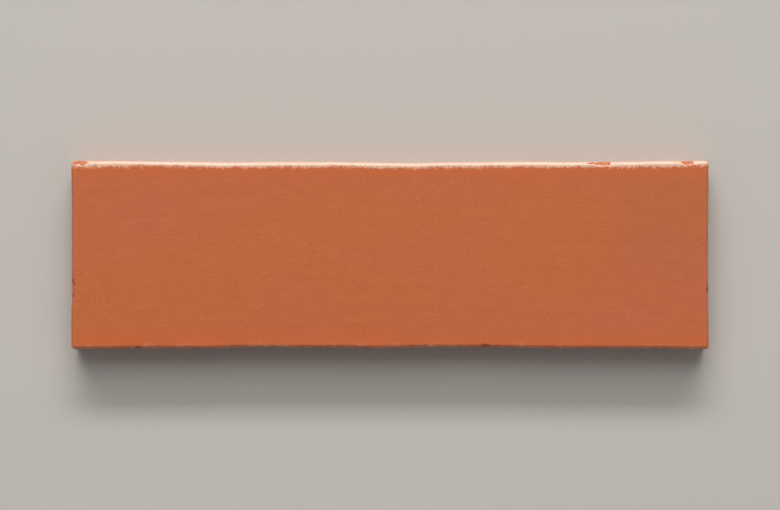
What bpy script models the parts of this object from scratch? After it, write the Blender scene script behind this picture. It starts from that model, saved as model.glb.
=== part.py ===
"""Clinker brick slip, 240 x 71 x 14 mm: one piece of extruded and fired clay.

The slip lies on its back with its face up. X runs along its length, Y across its width
and Z from the back to the face. The origin is the middle of the back, on the plane that
the ribs stand on.

The clay leaves the die as a column that lies face up. Teeth in the die draw the dovetail
keys down the whole back, fixed wires slit the two bed edges, and a cutting wire parts the
column into slips, so the keys run out at both ends. The corners keep the full length and
width. Between them the bed edges dry in a little and waver where the wires shivered, and
the ends are very slightly hollow. All four arrises round the face are soft, and the edges
of the back are only broken.
"""

import math

import bmesh
import bpy
from mathutils import Vector

# Driving dimensions, in metres
LENGTH = 0.240
WIDTH = 0.071
THICKNESS = 0.014

# Roundings: round the face, up the four corners and round the back
FACE_ARRIS = 0.0015
CORNER_ARRIS = 0.0010
BACK_ARRIS = 0.0004

# Dovetail keys and the ribs between them, measured on the back
KEY_MOUTH = 0.0050
KEY_DEPTH = 0.0020
KEY_UNDERCUT = 0.0007
KEY_FILLET = 0.0004
INNER_RIB = 0.0054
LEAST_OUTER_RIB = 0.0060

# How far the sides stand in from the block that the corners reach
BED_BOW = 0.0004
SLOW_WAVER = 0.00035
SLOW_WAVER_LENGTH = 0.074
QUICK_WAVER = 0.00015
QUICK_WAVER_LENGTH = 0.032
END_HOLLOW = 0.0003

# Fineness of the mesh
STATION_SPACING = 0.007
ARRIS_STEPS = 4
FILLET_STEPS = 3
CUTTER_OVERRUN = 0.002
SAME_PLACE = 0.00001

# An edge that turns more than this is an arris of the block
ARRIS_TURN = math.radians(45.0)

# Stands a section drawn in X and Y up in Y and Z, so that its extrusion runs along X
SECTION_TURN = (math.radians(90.0), 0.0, math.radians(90.0))

# Finish
CLAY_COLOUR = (0.49, 0.136, 0.056, 1.0)
CLAY_ROUGHNESS = 0.7


def clear_scene():
    """Remove every object that the file opened with."""
    for old in list(bpy.data.objects):
        bpy.data.objects.remove(old, do_unlink=True)


def new_collection(name):
    """Make a collection in the scene."""
    collection = bpy.data.collections.new(name)
    bpy.context.scene.collection.children.link(collection)
    return collection


def fired_clay():
    """The through-coloured terracotta body."""
    material = bpy.data.materials.new("fired_clay")
    material.use_nodes = True
    shader = material.node_tree.nodes["Principled BSDF"]
    shader.inputs["Base Color"].default_value = CLAY_COLOUR
    shader.inputs["Roughness"].default_value = CLAY_ROUGHNESS
    shader.inputs["Metallic"].default_value = 0.0
    return material


def cut_stations(bm, axis, extent):
    """Cut the block across one axis at evenly spaced stations."""
    cells = max(2, round(extent / STATION_SPACING))
    normal = Vector((0.0, 0.0, 0.0))
    normal[axis] = 1.0
    for i in range(1, cells):
        place = normal * (extent * (i / cells - 0.5))
        bmesh.ops.bisect_plane(
            bm,
            geom=bm.verts[:] + bm.edges[:] + bm.faces[:],
            plane_co=place,
            plane_no=normal,
        )


def swell(place, extent):
    """A smooth 0 to 1 to 0 along a side, from one corner to the next."""
    share = 2.0 * place / extent
    return max(0.0, 1.0 - share * share)


def ripple(x, height, length, phase):
    """A sine wave along X that runs between 0 and its height."""
    return height * (0.5 + 0.5 * math.sin(2.0 * math.pi * x / length + phase))


def bed_edge_inset(x, side):
    """How far the bed edge on one side, 1 or -1, stands in at x. The two waver out of step."""
    slow = ripple(x, SLOW_WAVER, SLOW_WAVER_LENGTH, side)
    quick = ripple(x, QUICK_WAVER, QUICK_WAVER_LENGTH, side)
    return swell(x, LENGTH) * (BED_BOW + slow + quick)


def end_inset(y):
    """How far a cut end stands in at y."""
    return swell(y, WIDTH) * END_HOLLOW


def draw_in_sides(bm):
    """Pull the bed edges and the ends in from the full block, and leave its corners."""
    for vert in bm.verts:
        x, y, _ = vert.co
        if 0.5 * WIDTH - abs(y) < SAME_PLACE:
            side = math.copysign(1.0, y)
            vert.co.y -= side * bed_edge_inset(x, side)
        if 0.5 * LENGTH - abs(x) < SAME_PLACE:
            vert.co.x -= math.copysign(end_inset(y), x)


def arris_radius(edge):
    """The rounding that an edge of the block gets, or 0 for an edge within a side."""
    if edge.calc_face_angle() < ARRIS_TURN:
        return 0.0
    low, high = sorted(vert.co.z for vert in edge.verts)
    if low > 0.5 * THICKNESS:
        return FACE_ARRIS
    if high < 0.5 * THICKNESS:
        return BACK_ARRIS
    return CORNER_ARRIS


def slip_blank(collection, material):
    """The slip before its keys: a block with drawn-in sides and rounded arrises."""
    bm = bmesh.new()
    bmesh.ops.create_cube(bm, size=1.0)
    bmesh.ops.scale(bm, vec=(LENGTH, WIDTH, THICKNESS), verts=bm.verts)
    bmesh.ops.translate(bm, vec=(0.0, 0.0, 0.5 * THICKNESS), verts=bm.verts)
    cut_stations(bm, 0, LENGTH)
    cut_stations(bm, 1, WIDTH)
    draw_in_sides(bm)

    bm.normal_update()
    widest = max(FACE_ARRIS, CORNER_ARRIS, BACK_ARRIS)
    weight = bm.edges.layers.float.new("bevel_weight_edge")
    for edge in bm.edges:
        edge[weight] = arris_radius(edge) / widest

    mesh = bpy.data.meshes.new("brick_slip")
    bm.to_mesh(mesh)
    bm.free()
    mesh.materials.append(material)

    slip = bpy.data.objects.new("brick_slip", mesh)
    collection.objects.link(slip)
    arris = slip.modifiers.new("Arrises", "BEVEL")
    arris.limit_method = "WEIGHT"
    arris.width = widest
    arris.segments = ARRIS_STEPS
    return slip


def rounded_corner(before, corner, after, radius, steps):
    """Points of an arc that rounds a corner of an outline and meets both its sides."""
    to_before = (before - corner).normalized()
    to_after = (after - corner).normalized()
    half_angle = 0.5 * to_before.angle(to_after)
    middle = (to_before + to_after).normalized()
    centre = corner + middle * (radius / math.sin(half_angle))
    reach = radius / math.tan(half_angle)
    start = corner + to_before * reach - centre
    sweep = start.angle_signed(corner + to_after * reach - centre)
    points = []
    for i in range(steps + 1):
        turn = -sweep * i / steps
        cosine = math.cos(turn)
        sine = math.sin(turn)
        across = start.x * cosine - start.y * sine
        up = start.x * sine + start.y * cosine
        points.append(centre + Vector((across, up)))
    return points


def key_outline():
    """The dovetail section of one key, from below the back up to its rounded floor."""
    lean = KEY_UNDERCUT / KEY_DEPTH
    low_half = 0.5 * KEY_MOUTH - lean * CUTTER_OVERRUN
    floor_half = 0.5 * KEY_MOUTH + KEY_UNDERCUT
    low_left = Vector((-low_half, -CUTTER_OVERRUN))
    low_right = Vector((low_half, -CUTTER_OVERRUN))
    floor_right = Vector((floor_half, KEY_DEPTH))
    floor_left = Vector((-floor_half, KEY_DEPTH))
    return [
        low_left,
        low_right,
        *rounded_corner(low_right, floor_right, floor_left, KEY_FILLET, FILLET_STEPS),
        *rounded_corner(floor_right, floor_left, low_left, KEY_FILLET, FILLET_STEPS),
    ]


def key_cutter_mesh():
    """A bar of the key's section, longer than the slip, as a closed mesh."""
    outline = key_outline()
    curve = bpy.data.curves.new("key_section", "CURVE")
    curve.dimensions = "2D"
    curve.fill_mode = "BOTH"
    curve.extrude = 0.5 * LENGTH + CUTTER_OVERRUN
    spline = curve.splines.new("POLY")
    spline.points.add(len(outline) - 1)
    for point, place in zip(spline.points, outline):
        point.co = (place.x, place.y, 0.0, 1.0)
    spline.use_cyclic_u = True

    bar = bpy.data.objects.new("key_section", curve)
    bpy.context.scene.collection.objects.link(bar)
    graph = bpy.context.evaluated_depsgraph_get()
    mesh = bpy.data.meshes.new_from_object(bar.evaluated_get(graph))
    bpy.data.objects.remove(bar, do_unlink=True)

    bm = bmesh.new()
    bm.from_mesh(mesh)
    bmesh.ops.remove_doubles(bm, verts=bm.verts, dist=SAME_PLACE)
    bmesh.ops.recalc_face_normals(bm, faces=bm.faces)
    bm.to_mesh(mesh)
    bm.free()
    return mesh


def key_places():
    """Where the keys lie across the back: as many as leave the outer ribs wide enough."""
    pitch = KEY_MOUTH + INNER_RIB
    span = WIDTH - 2.0 * LEAST_OUTER_RIB - KEY_MOUTH
    count = max(1, math.floor(span / pitch) + 1)
    return [pitch * (i - 0.5 * (count - 1)) for i in range(count)]


def cut_keys(slip):
    """Cut the dovetail keys along the back with one cutter for each."""
    cutters = new_collection("key_cutters")
    section = key_cutter_mesh()
    for i, y in enumerate(key_places()):
        cutter = bpy.data.objects.new(f"key_cutter_{i + 1}", section)
        cutter.rotation_euler = SECTION_TURN
        cutter.location.y = y
        cutter.display_type = "WIRE"
        cutter.hide_render = True
        cutters.objects.link(cutter)
    keys = slip.modifiers.new("Keys", "BOOLEAN")
    keys.operation = "DIFFERENCE"
    keys.solver = "EXACT"
    keys.operand_type = "COLLECTION"
    keys.collection = cutters


def main():
    clear_scene()
    slip = slip_blank(new_collection("clinker_brick_slip"), fired_clay())
    cut_keys(slip)


main()
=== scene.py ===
# %% [markdown]
# # A clinker brick slip
#
# A brick slip is a thin tile of brick that is glued to a wall. Stiff clay is pressed through a die
# as one long column. Teeth in the die draw dovetail keys down its back, two fixed wires slit the
# bed edges, and a moving wire cuts the column into slips. The kiln then turns them hard and red.
#
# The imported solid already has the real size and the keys. This lesson grows a much finer skin
# round it and gives every side the marks of the tool that made it. The solid is loaded first. It
# is the ruler for all that follows, and it never moves.

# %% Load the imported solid
import math
import random

import bmesh
import bpy
import numpy as np
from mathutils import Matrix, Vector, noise


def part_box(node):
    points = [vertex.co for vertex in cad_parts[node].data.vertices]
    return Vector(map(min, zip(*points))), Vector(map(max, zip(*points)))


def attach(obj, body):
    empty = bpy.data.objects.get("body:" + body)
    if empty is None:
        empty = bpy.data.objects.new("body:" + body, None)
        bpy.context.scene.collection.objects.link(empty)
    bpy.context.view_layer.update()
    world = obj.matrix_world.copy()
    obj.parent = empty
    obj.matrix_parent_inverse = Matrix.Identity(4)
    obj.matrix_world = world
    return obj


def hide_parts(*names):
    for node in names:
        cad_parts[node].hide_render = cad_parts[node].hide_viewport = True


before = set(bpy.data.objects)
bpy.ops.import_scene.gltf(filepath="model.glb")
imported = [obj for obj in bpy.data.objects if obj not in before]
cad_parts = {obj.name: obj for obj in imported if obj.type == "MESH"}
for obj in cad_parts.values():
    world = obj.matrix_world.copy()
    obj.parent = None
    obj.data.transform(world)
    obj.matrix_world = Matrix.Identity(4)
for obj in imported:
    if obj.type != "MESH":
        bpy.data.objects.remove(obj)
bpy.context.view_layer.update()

MM = 0.001
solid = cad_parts["brick_slip"]
low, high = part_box("brick_slip")
LENGTH, WIDTH, THICKNESS = high - low
print("solid, mm:", [round(size / MM, 2) for size in (LENGTH, WIDTH, THICKNESS)])

# %% [markdown]
# ## Feel the solid with rays
#
# A real slip isn't a perfect block. Its long edges bow in and waver where the slitting wires
# shivered, and its ends are a little hollow. Those numbers could be typed in again, but then the
# skin and the solid could drift apart. So a ray is sent at the solid every millimetre, as a maker
# would run a feeler gauge along it. The solid has flat facets, and a short running average takes
# them out of the readings.

# %% How far each side stands in
FEELER_STEP = 1.0 * MM
CORNER_CLEARANCE = 2.0 * MM
WELL_OUTSIDE = 2.0
AVERAGED_READINGS = 7


def feel(start, direction):
    """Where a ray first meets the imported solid."""
    hit, place, _, _ = solid.ray_cast(start, direction)
    if not hit:
        raise RuntimeError(f"the ray from {start} misses the solid")
    return place


def side_profile(axis, side):
    """Places along a side, and how far it stands in there from the block round the slip."""
    half_run = 0.5 * (LENGTH, WIDTH)[axis] - CORNER_CLEARANCE
    half_block = 0.5 * (WIDTH, LENGTH)[axis]
    places = np.arange(-half_run, half_run, FEELER_STEP)
    insets = []
    for place in places:
        start = [0.0, 0.0, 0.5 * THICKNESS]
        start[axis] = place
        start[1 - axis] = WELL_OUTSIDE * side * half_block
        towards = [0.0, 0.0, 0.0]
        towards[1 - axis] = -side
        insets.append(half_block - abs(feel(start, towards)[1 - axis]))
    window = np.ones(AVERAGED_READINGS) / AVERAGED_READINGS
    padded = np.pad(insets, AVERAGED_READINGS // 2, mode="edge")
    return places, np.convolve(padded, window, mode="valid")


bed_profiles = {side: side_profile(0, side) for side in (-1, 1)}
end_profiles = {side: side_profile(1, side) for side in (-1, 1)}
for side, (_, insets) in bed_profiles.items():
    print(f"bed edge {side:+d} stands in by up to {insets.max() / MM:.2f} mm")

# %% [markdown]
# ## Find the keys
#
# The dovetail keys are wider at the floor than at the mouth, so glue that has set in them can't
# pull out. Rays from below see each mouth and how deep its floor lies. A second ray, from the
# middle of a key sideways at half its depth, shows half of how far a wall leans.

# %% Mouths, depth and lean of the keys
SCAN_STEP = 0.02 * MM
SCAN_START = -2.0 * MM


def measure_keys():
    """The walls of the key mouths from -Y to +Y, the keys' depth, and their undercut."""
    places = np.arange(low.y + CORNER_CLEARANCE, high.y - CORNER_CLEARANCE, SCAN_STEP)
    heights = np.array([feel((0.0, y, SCAN_START), (0.0, 0.0, 1.0)).z for y in places])
    depth = heights.max()
    in_mouth = heights > 0.5 * depth
    walls = places[np.flatnonzero(np.diff(in_mouth))] + 0.5 * SCAN_STEP
    middle = 0.5 * (walls[0] + walls[1])
    half_lean = feel((0.0, middle, 0.5 * depth), (0.0, 1.0, 0.0)).y - walls[1]
    return walls, depth, 2.0 * half_lean


key_walls, KEY_DEPTH, KEY_UNDERCUT = measure_keys()
print(f"{len(key_walls) // 2} keys, {KEY_DEPTH / MM:.2f} mm deep, undercut {KEY_UNDERCUT / MM:.2f} mm")

# %% [markdown]
# ## Rule the lattice
#
# The skin has to be fine where the light will catch a shape, along the arrises, and may be
# coarser on the flats. A subdivided cube would be fine everywhere and waste its faces. Here the
# block is ruled with lines, like a baker's tray: lines through every wall and rounding of the
# slip, with even cells between them that are as wide as that stretch needs.

# %% Radii, cell sizes and a ruler
FACE_ARRIS = 1.5 * MM
CORNER_ARRIS = 1.0 * MM
BACK_ARRIS = 0.4 * MM
KEY_FILLET = 0.4 * MM

ARRIS_CELL = 0.3 * MM
LONG_CELL = 0.80 * MM
CROSS_CELL = 0.85 * MM
WALL_CELL = 0.6 * MM


def rule(stops, cells):
    """Lines through all the stops, with even cells of about the given size between them."""
    lines = [stops[0]]
    for start, stop, cell in zip(stops, stops[1:], cells):
        count = max(1, round((stop - start) / cell))
        lines += [start + (stop - start) * (i + 1) / count for i in range(count)]
    return np.array(lines)


half_length, half_width = 0.5 * LENGTH, 0.5 * WIDTH
x_lines = rule(
    [-half_length, FACE_ARRIS - half_length, half_length - FACE_ARRIS, half_length],
    [ARRIS_CELL, LONG_CELL, ARRIS_CELL],
)
last_x = len(x_lines) - 1
print("cells along the slip:", last_x)

# %% Lines across and up the slip


def line_numbers(lines, places):
    """Which line lies at each place."""
    return [int(np.argmin(np.abs(lines - place))) for place in places]


y_stops = [-half_width, FACE_ARRIS - half_width]
y_cells = [ARRIS_CELL]
for left, right in zip(key_walls[::2], key_walls[1::2]):
    y_stops += [left, left + KEY_FILLET, right - KEY_FILLET, right]
    y_cells += [CROSS_CELL, KEY_FILLET, CROSS_CELL, KEY_FILLET]
y_stops += [half_width - FACE_ARRIS, half_width]
y_cells += [CROSS_CELL, ARRIS_CELL]
y_lines = rule(y_stops, y_cells)

z_stops = [0.0, BACK_ARRIS, KEY_DEPTH - KEY_FILLET, KEY_DEPTH, THICKNESS - FACE_ARRIS, THICKNESS]
z_lines = rule(z_stops, [0.5 * BACK_ARRIS, WALL_CELL, KEY_FILLET, CROSS_CELL, ARRIS_CELL])

last_y, last_z = len(y_lines) - 1, len(z_lines) - 1
wall_columns = line_numbers(y_lines, key_walls)
key_row = line_numbers(z_lines, [KEY_DEPTH])[0]
print("cells across and up:", last_y, last_z)

# %% [markdown]
# ## Press the column
#
# The mesh is made the way the clay was. A flat grid is the die: one vertex for every crossing of
# the lines, with the cells inside the keys taken out. It is extruded once, and the long edges are
# then cut into stations. All of this happens in a space where neighbouring lines lie one unit
# apart, so that each vertex's place is also its line numbers. Those numbers stay useful: they say
# at any time on which side of the slip a vertex lies. The mesh tools hand their work back in
# another order on each run, and sorting by line numbers makes every run write the same mesh.

# %% The column, counted in lines
MORE_THAN_LINES = 1000.0


def is_key_cell(face):
    """Whether a cell of the die lies inside a key."""
    middle = face.calc_center_median()
    if middle.z > key_row:
        return False
    return any(left < middle.y < right for left, right in zip(wall_columns[::2], wall_columns[1::2]))


def lattice_order(place):
    """One number for a place in the lattice, which rises along X, then Y, then Z."""
    return (place.x * MORE_THAN_LINES + place.y) * MORE_THAN_LINES + place.z


def pressed_column():
    """A closed block of quads whose vertices lie at whole line numbers."""
    bm = bmesh.new()
    bmesh.ops.create_grid(bm, x_segments=last_y, y_segments=last_z, size=0.5)
    for vert in bm.verts:
        across, up = vert.co.x + 0.5, vert.co.y + 0.5
        vert.co = (0.0, round(across * last_y), round(up * last_z))
    bmesh.ops.delete(bm, geom=[face for face in bm.faces if is_key_cell(face)], context="FACES")
    column = bmesh.ops.extrude_face_region(bm, geom=bm.faces[:])
    for item in column["geom"]:
        if isinstance(item, bmesh.types.BMVert):
            item.co.x = last_x
    long_edges = [edge for edge in bm.edges if edge.verts[0].co.x != edge.verts[1].co.x]
    bmesh.ops.subdivide_edges(bm, edges=long_edges, cuts=last_x - 1, use_grid_fill=True)
    bmesh.ops.recalc_face_normals(bm, faces=bm.faces)
    bm.verts.sort(key=lambda vert: lattice_order(vert.co))
    bm.faces.sort(key=lambda face: lattice_order(face.calc_center_median()))
    return bm


mesh = bpy.data.meshes.new("slip_skin")
column = pressed_column()
column.to_mesh(mesh)
column.free()
print("quads in the column:", len(mesh.polygons))

# %% Read the line numbers back
count = len(mesh.vertices)
numbers = np.empty(3 * count)
mesh.vertices.foreach_get("co", numbers)
along, across, up = np.rint(numbers).astype(int).reshape(count, 3).T
corners = np.empty(4 * len(mesh.polygons), dtype=int)
mesh.loops.foreach_get("vertex_index", corners)
corners = corners.reshape(-1, 4)
print(count, "vertices,", 2 * len(mesh.polygons), "triangles")

# %% [markdown]
# ## Bend the block into the slip
#
# The line numbers are swapped for real places, and the block is then bent in a few steps, each a
# short rule for all the vertices at once. The keys come first. Their walls lean out from the mouth
# to the floor, and the lean fades out above them, so that no cell of the lattice is squashed. The
# corners of the floors are pulled in onto a small fillet, as the die's worn teeth leave them.

# %% Lean and fillet the keys
x, y, z = x_lines[along], y_lines[across], z_lines[up]
block = np.stack([x, y, z], axis=1)

LEAN_FADE = 3.5 * KEY_DEPTH
FILLET_SHARE = 1.0 - math.sqrt(0.5)
on_wall = np.isin(across, wall_columns)
key_middles = 0.5 * (key_walls[::2] + key_walls[1::2])


def lean_knots():
    """Places across the back and how far each moves at the floor of the keys."""
    knots = [(-half_width + FACE_ARRIS, 0.0), (half_width - FACE_ARRIS, 0.0)]
    knots += [(wall, KEY_UNDERCUT * (1 if i % 2 else -1)) for i, wall in enumerate(key_walls)]
    knots += [(middle, 0.0) for middle in key_middles]
    knots += [(0.5 * (one + two), 0.0) for one, two in zip(key_walls[1::2], key_walls[2::2])]
    return np.array(sorted(knots)).T


share_up = np.interp(z, [0.0, KEY_DEPTH, LEAN_FADE], [0.0, 1.0, 0.0])
y = y + share_up * np.interp(y, *lean_knots())

floor_corner = on_wall & (up == key_row)
nearest = key_middles[np.argmin(np.abs(y[:, None] - key_middles[None, :]), axis=1)]
y = np.where(floor_corner, y - np.sign(y - nearest) * FILLET_SHARE * KEY_FILLET, y)
z = np.where(floor_corner, z - FILLET_SHARE * KEY_FILLET, z)
print("corners of the key floors eased:", int(floor_corner.sum()))

# %% [markdown]
# ## Round the arrises
#
# The arrises round the face are soft, and those of the back are only broken. A bevel could round
# them, but on so fine a mesh it would make slivers. So the square corner of the lattice is carried
# onto a circle, which keeps every cell and keeps them even.

# %% A square corner onto a circle
NEVER_ZERO = 1e-9


def onto_circle(one, two):
    """Carry a square corner, where the larger of two shares is 1, onto a quarter circle."""
    return one * np.sqrt(1.0 - 0.5 * two * two), two * np.sqrt(1.0 - 0.5 * one * one)


def past(place, half, radius):
    """How far a place is into the rounding of a side: 0 where it starts and 1 on the side."""
    return np.clip((np.abs(place) - half + radius) / radius, 0.0, 1.0)


def put_back(place, half, radius, share):
    """The place that has a given share of the rounding, and the old one outside it."""
    inside = np.abs(place) <= half - radius
    return np.where(inside, place, np.sign(place) * (half - radius + radius * share))


def round_rim(x, y, z, radius, rim, outward):
    """Round the edges round the face, or those round the back."""
    x_share, y_share = past(x, half_length, radius), past(y, half_width, radius)
    side = np.maximum(x_share, y_share)
    height = np.clip(1.0 - (rim - z) * outward / radius, 0.0, 1.0)
    new_side, new_height = onto_circle(side, height)
    shrink = new_side / np.maximum(side, NEVER_ZERO)
    x = put_back(x, half_length, radius, x_share * shrink)
    y = put_back(y, half_width, radius, y_share * shrink)
    z = np.where(height > 0.0, rim - outward * radius * (1.0 - new_height), z)
    return x, y, z


def round_corners(x, y, radius):
    """Round the four upright corners."""
    x_share, y_share = onto_circle(past(x, half_length, radius), past(y, half_width, radius))
    return put_back(x, half_length, radius, x_share), put_back(y, half_width, radius, y_share)


widening = [THICKNESS - 3.0 * FACE_ARRIS, THICKNESS - FACE_ARRIS]
corner_radius = np.interp(z, widening, [CORNER_ARRIS, FACE_ARRIS])
x, y, z = round_rim(x, y, z, FACE_ARRIS, THICKNESS, 1)
x, y, z = round_rim(x, y, z, BACK_ARRIS, 0.0, -1)
x, y = round_corners(x, y, corner_radius)
print("arrises rounded:", FACE_ARRIS / MM, "and", BACK_ARRIS / MM, "mm")

# %% [markdown]
# ## Draw in the sides
#
# Clay shrinks as it dries, most in the middle of each side. The readings of the rays say how far.
# Moving only the outermost vertices would squash their cells, so the pull fades out towards the
# outermost key and, at the ends, over ten millimetres.

# %% Draw in the sides
END_REACH = 10.0 * MM


def drawn_in(place, along_side, profiles, start, full):
    """Move the places near two opposite sides in by what was felt on each side."""
    moved = place.copy()
    for side, (places, insets) in profiles.items():
        share = np.clip((side * place - start) / (full - start), 0.0, 1.0)
        moved -= side * share * np.interp(along_side, places, insets)
    return moved


new_y = drawn_in(y, x, bed_profiles, key_walls[-1], half_width - FACE_ARRIS)
x = drawn_in(x, y, end_profiles, half_length - END_REACH, half_length - FACE_ARRIS)
y = new_y
shape = np.stack([x, y, z], axis=1)
print("narrowest place, mm:", round((y[across == last_y].min() - y[across == 0].max()) / MM, 2))

# %% [markdown]
# ## Name the sides
#
# Every tool left its own marks, so each rule for relief has to know where it works. The line
# numbers tell. A soft mask grows from the arrises as well: 1 on an arris, and 0 a few millimetres
# away from it. It is worked out on the plain block, where the distance to an edge is simply the
# second smallest of the distances to its sides. The long arrises, which leave out the ends, get
# a mask of their own.

# %% Masks for the sides and the arrises
on_face = up == last_z
on_bed = (across == 0) | (across == last_y)
on_end = (along == 0) | (along == last_x)
on_back = up == 0
in_key = ~(on_face | on_bed | on_end | on_back)

to_end = half_length - np.abs(block[:, 0])
to_bed = half_width - np.abs(block[:, 1])
to_face = THICKNESS - block[:, 2]
to_back = block[:, 2]
to_arris = np.sort([to_end, to_bed, to_face, to_back], axis=0)[1]
to_long_arris = np.sort([to_bed, to_face, to_back], axis=0)[1]


def fading(distance, reach):
    """1 where a distance is nothing, and 0 from a given reach on."""
    return np.clip(1.0 - distance / reach, 0.0, 1.0) ** 2


def near_arris(reach):
    """A mask round all the arrises of the block."""
    return fading(to_arris, reach)


sides = {"face": on_face, "beds": on_bed, "ends": on_end, "back": on_back, "keys": in_key}
for name, mask in sides.items():
    print(name, int(mask.sum()), "vertices")

# %% [markdown]
# ## Marks that follow a direction
#
# Clay that slides along steel or is cut by a wire gets marks drawn out along the way it moved.
# Painting them one by one would take days. Smooth noise, read at each vertex, serves them all:
# stretching it along an axis turns round lumps into long drags, and a threshold that lets only
# the peaks through leaves tears. The skin moves along its normals by fractions of a millimetre.

# %% Noise with a grain
SEED_STEP = 7.31
EVEN = (1.0, 1.0, 1.0)


def lumps(size, stretch=EVEN, seed=0):
    """Smooth noise from about -1 to 1 at every vertex, with lumps of a given size."""
    scaled = block / (np.array(stretch) * size) + seed * SEED_STEP
    return np.array([noise.noise(place) for place in scaled.tolist()])


def waves(where, height, size, stretch=EVEN, seed=0):
    """Relief that rises and sinks by up to a height where a mask allows it."""
    return where * height * lumps(size, stretch, seed)


def tears(where, threshold, size, stretch=EVEN, seed=0):
    """Tears that are few and deep, from 0 to 1: only what rises over a threshold."""
    peaks = np.maximum(0.0, lumps(size, stretch, seed) - threshold)
    return where * (peaks / (1.0 - threshold))


sample = lumps(10.0 * MM)
print("smooth noise runs from", round(sample.min(), 2), "to", round(sample.max(), 2))

# %% [markdown]
# ## The face and its arrises
#
# The die irons the face, but the clay relaxes as it dries. The face swells by less than a tenth of
# a millimetre, and its arrises wander and crumble a little. Bump could fake the swell, yet it
# leaves every outline as straight as before, so the vertices themselves move.

# %% Swell, wander and crumble
FACE_SWELL = 0.07 * MM

relief = np.zeros(count)
relief += waves(on_face, FACE_SWELL, size=34.0 * MM, stretch=(2.2, 1.0, 1.0), seed=1)
relief += waves(near_arris(2.6 * MM), height=0.16 * MM, size=11.0 * MM, seed=2)
relief += waves(near_arris(1.6 * MM), height=0.07 * MM, size=2.6 * MM, seed=3)
print("face and arris relief, mm:", round(relief.min() / MM, 3), "to", round(relief.max() / MM, 3))

# %% [markdown]
# ## The slit bed edges and the wire-cut ends
#
# The fixed wires slide along the bed edges and draw long, shallow lines with tears between them.
# The moving wire goes down through the clay, so its lines on the ends are short and upright, and
# it plucks out more. Tears could be painted on, but a real one holds a shadow. So those that are
# wider than a cell are cut into the mesh, and they keep clear of the arrises.

# %% Drags and tears of the wires
SLIT_TEAR = 0.40 * MM
WIRE_TEAR = 0.50 * MM
TEAR_CLEARANCE = 1.2 * MM

inner = np.clip(to_arris / TEAR_CLEARANCE, 0.0, 1.0)
slit_tears = tears(on_bed * inner, threshold=0.30, size=2.0 * MM, stretch=(3.0, 1.0, 0.9), seed=5)
wire_tears = tears(on_end * inner, threshold=0.18, size=1.8 * MM, stretch=(1.0, 1.0, 1.3), seed=7)
relief += waves(on_bed, height=0.05 * MM, size=2.4 * MM, stretch=(30.0, 1.0, 0.5), seed=4)
relief += waves(on_end, height=0.10 * MM, size=2.6 * MM, stretch=(1.0, 0.8, 4.0), seed=6)
relief -= SLIT_TEAR * slit_tears + WIRE_TEAR * wire_tears
deepest_tear = max(SLIT_TEAR * slit_tears.max(), WIRE_TEAR * wire_tears.max())
print("deepest tear, mm:", round(deepest_tear / MM, 2))

# %% [markdown]
# ## The ribs and keys of the back
#
# Nobody smooths the back. The die's teeth draw lines down the keys, the ribs scuff on the belt,
# and their sharp edges tear as the clay leaves the teeth. The same two helpers serve, with masks
# for the keys, the ribs and the row of vertices along each rib's edge.

# %% Drags, scuffs and torn rib edges
RIB_SCUFF = 0.45 * MM
RIB_TEAR = 0.50 * MM

rib_edge = on_back & on_wall & ~on_end
rib_scuffs = tears(on_back, threshold=0.22, size=5.0 * MM, stretch=(1.6, 0.8, 1.0), seed=8)
rib_tears = tears(rib_edge, threshold=0.05, size=2.2 * MM, stretch=(1.4, 40.0, 1.0), seed=9)
relief += waves(in_key, height=0.07 * MM, size=1.8 * MM, stretch=(40.0, 1.0, 1.0), seed=10)
relief -= RIB_SCUFF * rib_scuffs + RIB_TEAR * rib_tears
print("torn vertices on the rib edges:", np.count_nonzero(rib_tears))

# %% [markdown]
# ## Raise the relief
#
# All the marks are now one number for each vertex. A Displace modifier would take a single
# texture, not such a sum of masks. So the skin is first set to its smooth shape, Blender works
# out the normals, and each vertex then moves along its own.

# %% Raise the relief
mesh.vertices.foreach_set("co", shape.ravel())
mesh.update()
normals = np.empty(3 * count)
mesh.vertex_normals.foreach_get("vector", normals)
places = shape + normals.reshape(count, 3) * relief[:, None]
print("relief in all, mm:", round(relief.min() / MM, 2), "to", round(relief.max() / MM, 2))

# %% [markdown]
# ## Knock chips out of the arrises
#
# Slips rub against each other on the belt, and small scoops break out of their edges. A Boolean
# with a ball for each chip would be slow and leave ragged cells. Here a chip is a rough ball that
# reaches a little way into the arris, and every vertex inside the ball is pushed in to its
# surface. The face gets few and small ones, because slips with a chipped face are sorted out, and
# the edges of the back get more.

# %% The arrises, and a rough ball
ARRIS_SAGITTA = math.sqrt(2.0) - 1.0
BALL_ROUGHNESS = 0.22

rough_ball = 1.0 + BALL_ROUGHNESS * lumps(1.7 * MM, seed=13)
print("the ball's radius varies from", round(rough_ball.min(), 2), "to", round(rough_ball.max(), 2))


def rim_arrises(height, outward, radius):
    """The four arrises round the face or the back: a point, a direction, half a run, and inward."""
    for axis in (0, 1):
        for side in (-1, 1):
            inward = np.array([0.0, 0.0, -float(outward)])
            inward[1 - axis] = -side
            inward /= math.sqrt(2.0)
            edge = np.array([0.0, 0.0, height])
            edge[1 - axis] = side * (half_width, half_length)[axis]
            run = np.array([0.0, 0.0, 0.0])
            run[axis] = 1.0
            yield edge + inward * radius * ARRIS_SAGITTA, run, (half_length, half_width)[axis], inward


def scoop(places, centre, run, stretch, radius, inward):
    """How far each vertex inside a rough, stretched ball is pushed in to reach its surface."""
    offset = places - centre
    offset = offset - np.outer(offset @ run, run) * (1.0 - 1.0 / stretch)
    reach = radius * rough_ball
    distance = (offset**2).sum(axis=1)
    depth = offset @ inward
    room = np.maximum(depth**2 + reach**2 - distance, 0.0)
    return np.where(distance < reach**2, np.sqrt(room) - depth, 0.0)


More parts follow.
